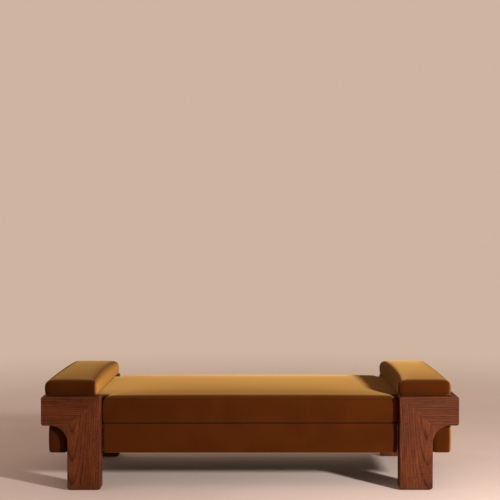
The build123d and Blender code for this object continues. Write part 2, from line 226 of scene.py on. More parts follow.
def away_from_joints(tree):
    """1 on open faces and 0 within a few millimetres of a glued joint, where no painted edge highlight
    goes.
    """
    place = put(tree, "ShaderNodeTexCoord").outputs["Object"]
    folded = arrows(tree, "ABSOLUTE", {0: place})
    flat = arrows(tree, "MULTIPLY", {0: folded, 1: (1, 0, 1)})
    inner_top = (leg_low.x, arm_high.z)
    heel = (leg_high.x, arm_low.z)
    joints = [(inner_top, heel), (heel, (leg_high.x, bracket_low.z)), (heel, (bracket_high.x, arm_low.z))]
    nearest = None
    for a, b in joints:
        distance = near_segment(tree, flat, a, b)
        nearest = distance if nearest is None else maths(tree, "MINIMUM", nearest, distance)
    return flow(tree, "ShaderNodeMapRange", {0: nearest, 1: 3 * MM, 2: 8 * MM, 3: 0.0, 4: 1.0})

# %% [markdown]
# The colour is built in three layers: rings with a dark late-wood line each, long soft
# streaks of stain, and fine pores a millimetre wide and a few centimetres long.  A Bevel
# node finds the edges, and there the colour is lightened: a painted highlight, as light catching the
# rounded edges would give.

# %% Stained timber
def stained_timber(name, grain, seed, pith, lean, tone=1.0, jointed=True):
    """Rings around the grain axis with stain streaks, open pores and a satin lacquer."""
    material, tree, shader, vector = new_finish(name, seed)
    grained = along_grain(tree, grain, pith, lean)
    long = mapped(tree, grained, Scale=(1, 1, 0.16))
    warp = put(tree, "ShaderNodeTexNoise", {"Vector": long, "Scale": 11.0, "Detail": 2.0})
    centred = arrows(tree, "SUBTRACT", {0: warp.outputs["Color"], 1: grey(0.5)})
    pushed = arrows(tree, "SCALE", {0: centred, "Scale": RING_WANDER})
    bent = arrows(tree, "ADD", {0: grained, 1: pushed})
    rings = put(
        tree,
        "ShaderNodeTexWave",
        {"Vector": bent, "Scale": RING_SCALE, "Distortion": 0.0},
        wave_type="RINGS",
        rings_direction="Z",
        wave_profile="SAW",
    ).outputs["Fac"]
    ring_shades = [(0.0, 0.55), (0.62, 0.62), (0.90, 0.12), (1.0, 0.45)]
    late_wood = ramp(tree, rings, [(place, grey(v)) for place, v in ring_shades])
    thin = mapped(tree, grained, Scale=(1, 1, 0.030))
    streaks = noise(tree, thin, 130.0, 4.0, 0.62)
    fine = noise(tree, thin, 820.0, 2.0, 0.6)
    broad = noise(tree, long, 13.0, 2.0)
    depth = maths(tree, "MULTIPLY_ADD", late_wood, 0.56, -0.42)
    depth = maths(tree, "MULTIPLY_ADD", streaks, 0.84, depth)
    depth = maths(tree, "MULTIPLY_ADD", broad, 0.46, depth)
    stops = [(place, tuple(tone * c for c in shade)) for place, shade in GRAIN_STOPS]
    colour = ramp(tree, depth, stops, False)
    pores = ramp(tree, fine, [(0.34, grey(0.0)), (0.46, grey(1.0))])
    colour = blend_colours(tree, pores, PORE, colour)
    # Painted highlight: where the Bevel normal turns away from the face, the colour is lightened, as
    # light catching the rounded edges would.
    bevel = flow(tree, "ShaderNodeBevel", {"Radius": 3 * MM}, samples=4)
    plain = put(tree, "ShaderNodeNewGeometry").outputs["Normal"]
    turn = number(tree, "DOT_PRODUCT", {0: bevel, 1: plain})
    edge_highlight = maths(tree, "MULTIPLY", maths(tree, "SUBTRACT", 1.0, turn), noise(tree, vector, 30.0, 3.0))
    edge_highlight = flow(tree, "ShaderNodeClamp", {"Value": maths(tree, "MULTIPLY", edge_highlight, 5.0), "Max": 0.4})
    if jointed:
        edge_highlight = maths(tree, "MULTIPLY", edge_highlight, away_from_joints(tree))
    relief = maths(tree, "MULTIPLY_ADD", pores, 0.7, maths(tree, "MULTIPLY", late_wood, 0.3))
    fill(tree, shader, {
        "Base Color": blend_colours(tree, edge_highlight, colour, PAINTED_EDGE_HIGHLIGHT),
        "Roughness": ramp(tree, streaks, [(0.2, grey(0.56)), (0.8, grey(0.44))]),
        "Normal": bumped(tree, relief, 0.30, 0.5 * MM),
        "Specular IOR Level": 0.07,
        "Coat Weight": 0.05,
        "Coat Roughness": 0.34,
    })
    return material


PITH_X, PITH_Z, ARM_PITH_Z = 0.85, 0.22, 0.27  # a point on the rings' centre line
seed = 1
for side_name, side in SIDES.items():
    for row_name, row in ROWS.items():
        corner = f"{row_name}_{side_name}"
        face = row * leg_face
        sway = 4 * MM * (seed % 5)
        x, upright_lean = side * PITH_X, (row * 0.085, side * 0.02, 0)
        boards = {
            "leg": ("z", (x, face - row * (50 * MM + sway), PITH_Z), upright_lean),
            "arm": ("x", (x, face - row * (40 * MM + sway), ARM_PITH_Z), (0.02, row * 0.03, 0)),
            "arch_bracket": ("z", (x, face - row * 46 * MM, PITH_Z), upright_lean),
        }
        for board, (grain, pith, lean) in boards.items():
            tone = 0.86 if board == "arm" else 1.0
            finish = stained_timber(f"{board}_{corner}_timber", grain, seed, pith, lean, tone)
            dress([f"{board}_{corner}"], finish)
            seed += 1
    pith = (side * (rail_high.x - 50 * MM), 0.0, rail_low.z - 40 * MM)
    finish = stained_timber(f"end_rail_{side_name}_timber", "y", seed, pith, (0.02, 0.03, 0), 0.9, False)
    dress([f"end_rail_{side_name}"], finish)
    seed += 1
print("stained boards:", seed - 1)

# %% [markdown]
# ## Hidden timber, steel and nylon
#
# Inside the base the timber is plain planed softwood, the fixings are zinc plated steel
# and the glides are dark nylon.  Tenons and dowels are beech, the zips are aged brass and
# the linings are plain woven cloth.  They are seldom seen, but each has its own finish.

# %% Finishes of the hidden pieces
def planed_timber(name, seed, pale, dark, grain="x"):
    """Unfinished timber with soft growth lines."""
    material, tree, shader, vector = new_finish(name, seed)
    turned = mapped(tree, vector, Rotation=GRAIN_TURN[grain])
    lines = noise(tree, mapped(tree, turned, Scale=(1, 1, 0.05)), 120.0, 4.0, 0.6, 0.3)
    fill(tree, shader, {
        "Base Color": ramp(tree, lines, [(0.35, dark), (0.62, pale)]),
        "Normal": bumped(tree, lines, 0.2, 0.5 * MM),
        "Roughness": 0.75,
    })
    return material


def metal(name, seed, mottling, dull, bright, rough, smooth):
    """Metal whose noise runs from a dull, rougher shade to a bright, smoother one."""
    material, tree, shader, vector = new_finish(name, seed)
    film = noise(tree, vector, *mottling)
    fill(tree, shader, {
        "Base Color": ramp(tree, film, [(0.3, dull), (0.7, bright)]),
        "Roughness": ramp(tree, film, [(0.3, grey(rough)), (0.7, grey(smooth))]),
        "Metallic": 1.0,
    })
    return material


def moulded_nylon():
    """Dark nylon, scuffed where it slides."""
    material, tree, shader, vector = new_finish("moulded_nylon", 12)
    scuffs = noise(tree, vector, 240.0, 4.0, 0.7)
    fill(tree, shader, {
        "Base Color": ramp(tree, scuffs, [(0.3, (0.030, 0.020, 0.014)), (0.8, (0.085, 0.062, 0.048))]),
        "Normal": bumped(tree, scuffs, 0.3, 0.2 * MM),
        "Roughness": 0.6,
    })
    return material


def woven(name, seed, pale, dark, threads):
    """Plain weave: two sets of threads, one thread high and the other low by turns."""
    material, tree, shader, vector = new_finish(name, seed)
    axes = put(tree, "ShaderNodeSeparateXYZ", {0: vector})
    across = maths(tree, "SINE", maths(tree, "MULTIPLY", axes.outputs["X"], threads))
    up = maths(tree, "SINE", maths(tree, "MULTIPLY", axes.outputs["Y"], threads))
    weave = maths(tree, "MULTIPLY_ADD", maths(tree, "MULTIPLY", across, up), 0.5, 0.5)
    slub = noise(tree, vector, 60.0, 4.0, 0.6)
    mixed = maths(tree, "MULTIPLY_ADD", weave, 0.5, maths(tree, "MULTIPLY", slub, 0.5))
    fill(tree, shader, {
        "Base Color": ramp(tree, mixed, [(0.25, dark), (0.75, pale)]),
        "Normal": bumped(tree, mixed, 0.4, 0.4 * MM),
        "Roughness": 0.9,
        "Specular IOR Level": 0.2,
    })
    return material


pine = planed_timber("planed_pine", 21, (0.66, 0.47, 0.27), (0.50, 0.31, 0.15))
pine_across = planed_timber("planed_pine_across", 22, (0.68, 0.49, 0.28), (0.52, 0.33, 0.16), "y")
beech = planed_timber("beech", 23, (0.62, 0.40, 0.24), (0.48, 0.29, 0.16))
steel = metal("zinc_plate", 11, (300.0, 2.0), (0.52, 0.52, 0.50), (0.74, 0.74, 0.72), 0.42, 0.28)
dress([f"{board}_{row_name}" for board in ("base_rail", "slat_bearer") for row_name in ROWS], pine)
dress(["base_rail_left", "base_rail_right", "slats", "corner_blocks"], pine_across)
dress([f"cross_tie_{place}" for place in ("left", "middle", "right")], pine_across)
dress(["mitre_tenons", "bracket_dowels", "rail_dowels"], beech)
dress(["leg_bolts", "leg_bolt_washers", "leg_bolt_inserts", "frame_screws", "slat_screws"], steel)
dress(["glides"], moulded_nylon())
# Dark lining cloth for the deck, also used as painted shade on the tops of the long base pads.
lining_cloth_and_painted_shade = woven("deck_lining", 24, (0.016, 0.010, 0.006), (0.007, 0.004, 0.002), 3200.0)
dust_cloth = woven("dust_cloth", 25, (0.030, 0.027, 0.025), (0.012, 0.011, 0.010), 2600.0)
tape_cloth = woven("zip_tape_cloth", 26, (0.110, 0.046, 0.014), (0.055, 0.020, 0.006), 5200.0)
brass = metal("aged_brass", 13, (420.0, 3.0, 0.6), (0.22, 0.125, 0.045), (0.48, 0.30, 0.115), 0.50, 0.30)
print("hidden pieces dressed")

# %% [markdown]
# ## Velvet
#
# Velvet is a short upright pile.  Looked at from straight on, light sinks between the
# hairs and the cloth is a deep brown; at a glancing angle the sides of the hairs catch
# the light and it turns gold.  The shader's sheen does exactly that, so the base colour
# is kept very dark and the sheen carries the gold.  A slow noise shows where hands have
# turned the nap, and a fine one gives the pile its grain.  The bolsters and the ends of
# the base each have a velvet of their own with painted light and shade: the left ones
# have a darker pile and less sheen, a painted shade, and faces turned towards the key
# light on +X are painted gold, a painted highlight.

# %% Velvet
PILE = [(0.036, 0.0074, 0.0007), (0.045, 0.0094, 0.0010)]  # deep and pale
SHEEN_TINT = (1.0, 0.54, 0.150, 1.0)
# Painted highlight colour for velvet faces turned towards the key light on +X.
PAINTED_LIT_SIDE_GOLD = (0.44, 0.20, 0.042, 1)


def velvet(name, seed, depth=1.0, sheen=0.36, lit_side_gold=0.0):
    """Golden brown velvet; depth scales the pile's colour and sheen the gold at a glance.

    lit_side_gold is how far the faces turned towards +X, towards the key light, are painted gold: a
    painted highlight.
    """
    material, tree, shader, vector = new_finish(name, seed)
    nap = noise(tree, vector, 5.0, 3.0, 0.5, 0.5)
    pile = noise(tree, vector, 1500.0, 2.0, 0.7)
    deep, pale = (tuple(depth * c for c in shade) for shade in PILE)
    colour = ramp(tree, nap, [(0.30, deep), (0.70, pale)])
    grain = ramp(tree, pile, [(0.25, grey(0.78)), (0.75, grey(1.0))])
    colour = blend_colours(tree, 1.0, colour, grain, "MULTIPLY")
    # Painted highlight: faces whose normal points to +X, the side the key light comes from, are mixed
    # towards gold.
    if lit_side_gold:
        facing = put(tree, "ShaderNodeTexCoord").outputs["Normal"]
        side = put(tree, "ShaderNodeSeparateXYZ", {"Vector": facing}).outputs["X"]
        turned = flow(tree, "ShaderNodeMapRange", {0: side, 1: 0.45, 2: 1.0, 3: 0.0, 4: lit_side_gold})
        colour = blend_colours(tree, turned, colour, PAINTED_LIT_SIDE_GOLD)
    stroke = noise(tree, vector, 30.0, 3.0, 0.5, 0.4)
    height = maths(tree, "MULTIPLY_ADD", pile, 0.10, stroke)
    fill(tree, shader, {
        "Base Color": colour,
        "Normal": bumped(tree, height, 0.07, 4 * MM),
        "Roughness": 0.9,
        "Specular IOR Level": 0.02,
        "Sheen Weight": sheen,
        "Sheen Roughness": 0.42,
        "Sheen Tint": SHEEN_TINT,
    })
    return material


gold_velvet = velvet("gold_velvet", 5)
# Painted shade: the seam thread's velvet has a darker pile and almost no sheen, so each seam reads as a
# dark crease.
seam_velvet_painted_shade = velvet("seam_velvet_painted_shade", 6, 0.6, 0.05)
# Painted light and shade: the left copies get a darker pile and less sheen, a painted shade, and the last
# argument paints gold on faces turned towards the key light on +X.
bolster_velvet_painted_light = {
    "left": velvet("bolster_velvet_left", 7, 0.74, 0.22, 0.7),
    "right": velvet("bolster_velvet_right", 8, 0.96, 0.31, 0.3),
}
end_velvet_painted_light = {
    "left": velvet("end_velvet_left", 9, 0.8, 0.28),
    "right": velvet("end_velvet_right", 10, 1.0, 0.36, 0.5),
}

# %% [markdown]
# ## Drawing soft shapes
#
# An upholstered block is easiest to describe by distance: how far is a point from the
# cover?  Where that is zero, there is the cloth.  Rounded corners, a crowned top and
# sides that belly out between the corners are all small changes to one formula.  The
# mesh is then laid over the zero surface in even squares, which is just what the cloth
# simulation wants later.

# %% Distance formulas
def round_rectangle(x, y, x0, x1, y0, y1, corner):
    """Distance in plan to a rectangle with rounded corners, negative inside."""
    qx = np.abs(x - (x0 + x1) / 2) - (x1 - x0) / 2 + corner
    qy = np.abs(y - (y0 + y1) / 2) - (y1 - y0) / 2 + corner
    return np.hypot(np.maximum(qx, 0), np.maximum(qy, 0)) + np.minimum(np.maximum(qx, qy), 0) - corner


def upright(plan, z, z0, z1, top_edge, low_edge):
    """Distance to a plan raised from z0 to z1, with a rounded edge above and below."""
    edge = np.where(z > (z0 + z1) / 2, top_edge, low_edge)
    d = plan + edge
    h = np.abs(z - (z0 + z1) / 2) - (z1 - z0) / 2 + edge
    return np.hypot(np.maximum(d, 0), np.maximum(h, 0)) + np.minimum(np.maximum(d, h), 0) - edge


def smooth_step(t):
    t = np.clip(t, 0, 1)
    return t * t * (3 - 2 * t)


def dome(offset, reach, power):
    """1 in the middle and 0 at the reach, flatter on top for a higher power."""
    return 1 - np.clip(np.abs(offset) / reach, 0, 1) ** power

# %% Lay a mesh over a distance formula
def grid_lines(low, high, step, edges=(), fine=2.5 * MM, reach=11 * MM):
    """Grid lines at even steps, closer together around the places of tight edges."""
    here = low - 2 * fine - 6 * MM
    lines = [here]
    while here < high + 2 * fine + 6 * MM:
        near = min((abs(here + fine / 2 - edge) for edge in edges), default=1.0)
        here += fine if near < reach else min(step, max(near - reach, fine))
        lines.append(here)
    return np.array(lines)


def lay_mesh(distance, axes):
    """Squares over the surface where the distance is zero, one in each grid cell it crosses."""
    grid = np.stack(np.meshgrid(*axes, indexing="ij"), -1)
    inside = distance(grid[..., 0], grid[..., 1], grid[..., 2]) < 0
    n = np.array([len(lines) - 1 for lines in axes])
    total = sum(
        inside[i : i + n[0], j : j + n[1], k : k + n[2]].astype(int)
        for i in (0, 1)
        for j in (0, 1)
        for k in (0, 1)
    )
    active = (total > 0) & (total < 8)
    index = np.full(n, -1)
    index[active] = np.arange(active.sum())
    middles = [(lines[1:] + lines[:-1]) / 2 for lines in axes]
    points = np.stack([middle[place] for middle, place in zip(middles, np.nonzero(active))], -1)
    faces = []
    for axis in range(3):
        here = np.moveaxis(inside, axis, 0)
        cell = np.moveaxis(index, axis, 0)
        cross = here[1:, 1:-1, 1:-1] != here[:-1, 1:-1, 1:-1]
        a, b, c = np.nonzero(cross)
        ring = [(0, 0), (1, 0), (1, 1), (0, 1)]
        faces.append(np.stack([cell[a, b + j, c + k] for j, k in ring], -1))
    for _ in range(8):
        points = pull_to_surface(distance, points)
    return points, np.concatenate(faces)


def slope_of(distance, points):
    """Slope of a distance formula at each point, along each of its axes."""
    e = 1e-5
    shifts = e * np.eye(points.shape[1])
    return np.stack(
        [distance(*(points + shift).T) - distance(*(points - shift).T) for shift in shifts], -1
    ) / (2 * e)


def pull_to_surface(distance, points):
    """Move points along the slope of the distance until it is zero."""
    slope = slope_of(distance, points)
    size = np.maximum((slope**2).sum(-1), 0.05)
    return points - 0.9 * (distance(*points.T) / size)[:, None] * slope


def in_scene(name, data):
    """An object in the scene for a mesh, a light or a camera."""
    piece = bpy.data.objects.new(name, data)
    bpy.context.scene.collection.objects.link(piece)
    return piece


def make_piece(name, points, faces, material):
    """A smooth-shaded object from points and faces, with its normals outward."""
    mesh = bpy.data.meshes.new(name)
    mesh.from_pydata([tuple(p) for p in points], [], [tuple(int(i) for i in f) for f in faces])
    mesh.materials.append(material)
    piece = in_scene(name, mesh)
    shell = bmesh.new()
    shell.from_mesh(mesh)
    bmesh.ops.recalc_face_normals(shell, faces=shell.faces)
    for face in shell.faces:
        face.smooth = True
    shell.to_mesh(mesh)
    shell.free()
    return piece

# %% [markdown]
# ## Letting the cloth settle
#
# A sewn cover over foam is a balloon that is held back by its own weave.  Each cushion
# starts a little small, is blown up as cloth for twenty frames, and no point may travel
# further than the foam could push it.  What is left are the faint pulls and hollows
# that no formula would give.

# %% Cloth settling
SETTLE_FRAMES = 20
PRESSURE = 4.0


def settle(piece, pressure, limit, keep_above):
    """Inflate a piece as cloth, cap each point's travel and keep the result."""
    start = np.array([v.co for v in piece.data.vertices])
    cloth = piece.modifiers.new("cover", "CLOTH")
    cloth.settings.use_pressure = True
    cloth.settings.uniform_pressure_force = pressure
    cloth.settings.effector_weights.gravity = 0
    cloth.settings.quality = 4
    cloth.collision_settings.use_collision = False
    cloth.point_cache.frame_start = 1
    cloth.point_cache.frame_end = SETTLE_FRAMES
    for moment in range(1, SETTLE_FRAMES + 1):
        bpy.context.scene.frame_set(moment)
    shaped = piece.evaluated_get(bpy.context.evaluated_depsgraph_get()).data
    end = np.array([v.co for v in shaped.vertices])
    piece.modifiers.remove(cloth)
    bpy.context.scene.frame_set(1)
    travel = end - start
    length = np.linalg.norm(travel, axis=1)
    travel *= (limit * np.tanh(length / limit) / np.maximum(length, 1e-9))[:, None]
    end = start + travel
    end[:, 2] = np.maximum(end[:, 2], keep_above)
    for vertex, place in zip(piece.data.vertices, end):
        vertex.co = place
    print(piece.name, "moved up to", round(float(np.abs(travel).max()) / MM, 1), "mm")

# %% [markdown]
# ## The mattress
#
# One loose foam mattress fills the space between the end rails and reaches out between
# the legs, so in plan it is a rectangle with a notch at each corner.  Its top is crowned
# nearly two centimetres, its upper edge is soft and its lower edge is tighter, where it
# sits on the base.  Its underside steps up over the long base pads, which stand a little
# above the deck.

# %% Mattress
mattress_notch_x = leg_low.x - 3 * MM
mattress_notch_y = leg_back - 3 * MM
LIP = long_high.z - mattress_low.z  # the long base pads rise this far above the deck
STEP_Y, STEP_RUN = 358 * MM, 13 * MM  # where the underside starts to step up
CROWN = 18 * MM
SLACK = 1.5 * MM  # the cover is drawn this much small, before it is puffed
MATTRESS_EDGES = (42 * MM, 9 * MM)  # upper and lower


def mattress_plan(x, y):
    """Distance in plan to the notched outline, negative inside."""
    far_x, far_y = mattress_high.x, mattress_high.y
    wide = round_rectangle(x, y, -far_x, far_x, -mattress_notch_y, mattress_notch_y, 14 * MM)
    deep = round_rectangle(x, y, -mattress_notch_x, mattress_notch_x, -far_y, far_y, 6 * MM)
    return np.minimum(wide, deep)


def mattress_distance(x, y, z):
    """Crowned and bellied mattress, stepped below."""
    bottom = mattress_low.z - SLACK + LIP * smooth_step((np.abs(y) - STEP_Y) / STEP_RUN)
    top = mattress_high.z - SLACK
    crown = CROWN * dome(x, bolster_low.x, 3.5) * dome(y, mattress_high.y, 2.2)
    middle = (mattress_low.z + top) / 2
    lift = crown * smooth_step((z - middle) / (top - middle))
    belly = 2.5 * MM * dome(z - middle, top - middle, 2)
    return upright(mattress_plan(x, y), z - lift, bottom, top, *MATTRESS_EDGES) - belly + SLACK


x_edges = [side * x for side in (-1, 1) for x in (mattress_notch_x, mattress_high.x)]
y_edges = [row * y for row in (-1, 1) for y in (mattress_notch_y, mattress_high.y)]
z_edges = [mattress_low.z + 10 * MM, mattress_high.z - 10 * MM]
points, faces = lay_mesh(mattress_distance, [
    grid_lines(mattress_low.x, mattress_high.x, 18 * MM, x_edges, 5.5 * MM, 14 * MM),
    grid_lines(mattress_low.y, mattress_high.y, 18 * MM, y_edges, 5.5 * MM, 14 * MM),
    grid_lines(mattress_low.z, mattress_high.z + CROWN, 14 * MM, z_edges, 4 * MM, 20 * MM),
])
mattress = make_piece("mattress", points, faces, gold_velvet)
settle(mattress, PRESSURE, 4 * MM, mattress_low.z)
print("mattress:", len(faces), "faces")

# %% [markdown]
# ## The bolsters
#
# Each bolster is a flat, well filled cushion.  In section it is widest at half its
# height: the lower half tucks in a little to the seam it lies on, and the upper half
# rolls over in one long curve.  A power curve joins side and top smoothly, which a fixed
# edge radius would not.  The two cushions are loose, so neither lies quite square.

# %% Bolsters
LIE = {"left": (-4 * MM, math.radians(-1.2)), "right": (-9 * MM, math.radians(0.15))}
SIDE_ROLL, ROLL_POWER = 46 * MM, 2.6
TUCK = 10 * MM
BOLSTER_CORNER = 28 * MM
bolster_half_x = (bolster_high.x - bolster_low.x) / 2
bolster_half_y = bolster_high.y - 1 * MM


def on_bolster(side_name, x, y):
    """A point in the cushion's own plan, measured from its middle."""
    shift, turn = LIE[side_name]
    px = x - SIDES[side_name] * (bolster_low.x + bolster_high.x) / 2 - shift
    c, s = math.cos(turn), math.sin(turn)
    return c * px + s * y, -s * px + c * y


def bolster_plan(px, py, half_x):
    return round_rectangle(px, py, -half_x, half_x, -bolster_half_y, bolster_half_y, BOLSTER_CORNER)


def bolster_distance(side_name):
    """Distance formula of the bolster on one side."""
    half_x = bolster_half_x + 2 * MM
    low, high = bolster_low.z + 0.5 * MM, bolster_high.z - 16 * MM
    middle = (low + high) / 2 - 1 * MM

    def distance(x, y, z):
        px, py = on_bolster(side_name, x, y)
        plan = bolster_plan(px, py, half_x)
        crown = 17 * MM * dome(px, half_x, 3.6) * dome(py, bolster_half_y, 2.4)
        up = np.clip((z - middle) / (high + crown - middle), 0, None)
        down = np.clip((middle - z) / (middle - low), 0, None)
        over = (np.maximum(plan + SIDE_ROLL, 0) / SIDE_ROLL) ** ROLL_POWER + up**ROLL_POWER
        under = (np.maximum(plan + TUCK, 0) / TUCK) ** 2.0 + down**3.0
        roll = SIDE_ROLL * (over ** (1 / ROLL_POWER) - 1)
        return np.where(z > middle, roll, TUCK * (under**0.4 - 1))

    return distance


bolsters = {}
for side_name, side in SIDES.items():
    centre = side * (bolster_low.x + bolster_high.x) / 2
    half = bolster_half_x + 30 * MM
    top = bolster_high.z + 20 * MM
    points, faces = lay_mesh(bolster_distance(side_name), [
        grid_lines(centre - half, centre + half, 8 * MM),
        grid_lines(bolster_low.y - 10 * MM, bolster_high.y + 10 * MM, 8 * MM),
        grid_lines(bolster_low.z, top, 8 * MM, [bolster_low.z + 3 * MM], 3 * MM, 9 * MM),
    ])
    bolster = make_piece(f"bolster_{side_name}_cushion", points, faces, bolster_velvet_painted_light[side_name])
    settle(bolster, PRESSURE, 5 * MM, bolster_low.z + 0.2 * MM)
    bolsters[side_name] = bolster
    print(bolster.name, len(faces), "faces")

# %% [markdown]
# ## The padded base
#
# The long sides are pads between the legs.  Their upper faces take the dark lining cloth,
# a painted shade for the dark line where the mattress sits on the base.  At each end one pad
# runs round the corner and stops at the legs, with a hollow that lets the arch bracket in.

# %% Base pads
PAD_BELLY = 3 * MM
RAIL_ROOM = 0.2 * MM  # between a pad and the rail behind it


def long_pad_distance(row):
    """Pad between the legs, on the front or the back."""
    y_face, y_rail = -long_low.y, -long_high.y

    def distance(x, y, z):
        out = row * y
        middle = (long_low.z + long_high.z) / 2
        belly = PAD_BELLY * dome(z - middle, long_high.z - middle, 2)
        belly = belly * smooth_step((out - y_rail) / (30 * MM))
        plan = round_rectangle(x, out, long_low.x, long_high.x, y_rail - 60 * MM, y_face, 14 * MM)
        pad = upright(plan, z, long_low.z - 3 * MM, long_high.z - 1 * MM, 3 * MM, 9 * MM)
        return np.maximum(pad - belly + 3.5 * MM, y_rail + RAIL_ROOM - out)

    return distance


def end_pad_distance(side):
    """Pad round one end, cut back for the legs and the arch brackets."""
    arch_x, arch_z = bracket_high.x, bracket_low.z
    arch_room = bracket_high.x - bracket_low.x - 4 * MM
    rail_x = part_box("base_rail_right")[1].x

    def distance(x, y, z):
        out = side * x
        deep = np.abs(y)
        middle = (end_low.z + end_high.z) / 2
        belly = PAD_BELLY * dome(z - middle, end_high.z - middle, 2)
        plan = round_rectangle(out, y, end_low.x, end_high.x, end_low.y, end_high.y, 24 * MM)
        pad = upright(plan, z, end_low.z - 1 * MM, end_high.z + 1 * MM, 4 * MM, 9 * MM)
        inside = np.maximum(out - rail_x - RAIL_ROOM, deep - leg_back - RAIL_ROOM)
        pad = np.maximum(pad - belly + 1.5 * MM, -inside)
        arch = np.hypot(out - arch_x, z - arch_z) - arch_room
        bracket = np.maximum(np.maximum(-arch, out - arch_x), np.maximum(arch_z - z, leg_back - deep))
        return np.maximum(pad, -bracket)

    return distance


base_pads = {}
z_lines = grid_lines(
    long_low.z, long_high.z, 9 * MM, [long_low.z + 4 * MM, long_high.z - 4 * MM], 1.5 * MM, 8 * MM
)
for row_name, row in ROWS.items():
    faces_y = sorted((row * -long_low.y, row * -long_high.y))
    points, faces = lay_mesh(long_pad_distance(row), [
        grid_lines(long_low.x, long_high.x, 12 * MM, [long_low.x, long_high.x], 3 * MM),
        grid_lines(*faces_y, 8 * MM, [row * -long_low.y, row * -long_high.y], 1.5 * MM, 7 * MM),
        z_lines,
    ])
    base_pads[row_name] = make_piece(f"base_pad_{row_name}", points, faces, gold_velvet)
for side_name, side in SIDES.items():
    faces_x = sorted((side * end_low.x, side * end_high.x))
    y_edges = [row * y for row in (-1, 1) for y in (end_high.y, leg_back)]
    points, faces = lay_mesh(end_pad_distance(side), [
        grid_lines(*faces_x, 6 * MM, [side * end_high.x], 2 * MM),
        grid_lines(end_low.y, end_high.y, 7 * MM, y_edges, 2 * MM),
        z_lines,
    ])
    base_pads[side_name] = make_piece(f"base_pad_{side_name}", points, faces, end_velvet_painted_light[side_name])
# Painted shade: the upward faces along the top of the front and back pads take the dark lining cloth, for
# the dark line under the mattress's front edge.
for row_name in ROWS:
    pad = base_pads[row_name]
    pad.data.materials.append(lining_cloth_and_painted_shade)
    for face in pad.data.polygons:
        if face.normal.z > 0.8 and face.center.z > long_high.z - 6 * MM:
            face.material_index = 1
print("base pads:", {name: len(pad.data.polygons) for name, pad in base_pads.items()})

# %% [markdown]
# ## Things in a row
#
# Zip teeth and staples are one small shape repeated along a line.  Geometry Nodes does
# that well: the line is a mesh of edges, the tree walks along it at an even spacing and
# sets a block at each stop.  Even and odd stops can step to either side, which is how
# the teeth of a zip meet.  A second tree wraps a line in a round thread for the seams.

# %% Trees for rows and threads
def new_tree(name, sizes):
    """A Geometry Nodes tree with named sizes and a material; returns it and the outputs of its group
    input.
    """
    tree = bpy.data.node_groups.new(name, "GeometryNodeTree")
    tree.interface.new_socket("Geometry", in_out="OUTPUT", socket_type="NodeSocketGeometry")
    tree.interface.new_socket("Geometry", in_out="INPUT", socket_type="NodeSocketGeometry")
    for title, kind in sizes.items():
        tree.interface.new_socket(title, in_out="INPUT", socket_type=kind)
    tree.interface.new_socket("Material", in_out="INPUT", socket_type="NodeSocketMaterial")
    return tree, tree.nodes.new("NodeGroupInput").outputs


def close_tree(tree, geometry, material):
    real = flow(tree, "GeometryNodeRealizeInstances", {0: geometry})
    dressed = flow(tree, "GeometryNodeSetMaterial", {"Geometry": real, "Material": material})
    put(tree, "NodeGroupOutput", {0: dressed})
    return tree


def row_tree():
    """Blocks at an even spacing along a line of edges."""
    sizes = {"Spacing": "NodeSocketFloat", "Size": "NodeSocketVector", "Step aside": "NodeSocketVector"}
    tree, given = new_tree("blocks_in_a_row", sizes)
    line = flow(tree, "GeometryNodeMeshToCurve", {"Mesh": given["Geometry"]})
    spaced = {"Curve": line, "Length": given["Spacing"]}
    stops = flow(tree, "GeometryNodeResampleCurve", spaced, mode="LENGTH")
    odd = maths(tree, "MODULO", flow(tree, "GeometryNodeInputIndex"), 2.0)
    sign = maths(tree, "MULTIPLY_ADD", odd, 2.0, -1.0)
    aside = arrows(tree, "SCALE", {0: given["Step aside"], "Scale": sign})
    moved = flow(tree, "GeometryNodeSetPosition", {"Geometry": stops, "Offset": aside})
    block = flow(tree, "GeometryNodeMeshCube", {"Size": given["Size"]})
    tangent = flow(tree, "GeometryNodeInputTangent")
    facing = flow(tree, "FunctionNodeAlignRotationToVector", {"Vector": tangent}, axis="X")
    placed = {"Points": moved, "Instance": block, "Rotation": facing}
    return close_tree(tree, flow(tree, "GeometryNodeInstanceOnPoints", placed), given["Material"])


def thread_tree():
    """A round thread around a line of edges."""
    tree, given = new_tree("thread_on_a_line", {"Radius": "NodeSocketFloat"})
    line = flow(tree, "GeometryNodeMeshToCurve", {"Mesh": given["Geometry"]})
    round_section = {"Resolution": 6, "Radius": given["Radius"]}
    ring = flow(tree, "GeometryNodeCurvePrimitiveCircle", round_section)
    wrapping = {"Curve": line, "Profile Curve": ring, "Fill Caps": True}
    return close_tree(tree, flow(tree, "GeometryNodeCurveToMesh", wrapping), given["Material"])


def edges_mesh(name, points, closed):
    mesh = bpy.data.meshes.new(name)
    last = len(points) if closed else len(points) - 1
    mesh.from_pydata([tuple(p) for p in points], [(i, (i + 1) % len(points)) for i in range(last)], [])
    return mesh


def from_tree(name, tree, points, closed, values, smooth=False):
    """Run a tree on a line and keep the result as one plain mesh."""
    source = in_scene(name + "_line", edges_mesh(name + "_line", points, closed))
    maker = source.modifiers.new("maker", "NODES")
    maker.node_group = tree
    for item in tree.interface.items_tree:
        if item.in_out == "INPUT" and item.name in values:
            maker[item.identifier] = values[item.name]
    shown = source.evaluated_get(bpy.context.evaluated_depsgraph_get())
    mesh = bpy.data.meshes.new_from_object(shown)
    mesh.name = name
    bpy.data.objects.remove(source)
    mesh.polygons.foreach_set("use_smooth", [smooth] * len(mesh.polygons))
    print(name, len(mesh.polygons), "faces")
    return in_scene(name, mesh)


ROW, THREAD = row_tree(), thread_tree()

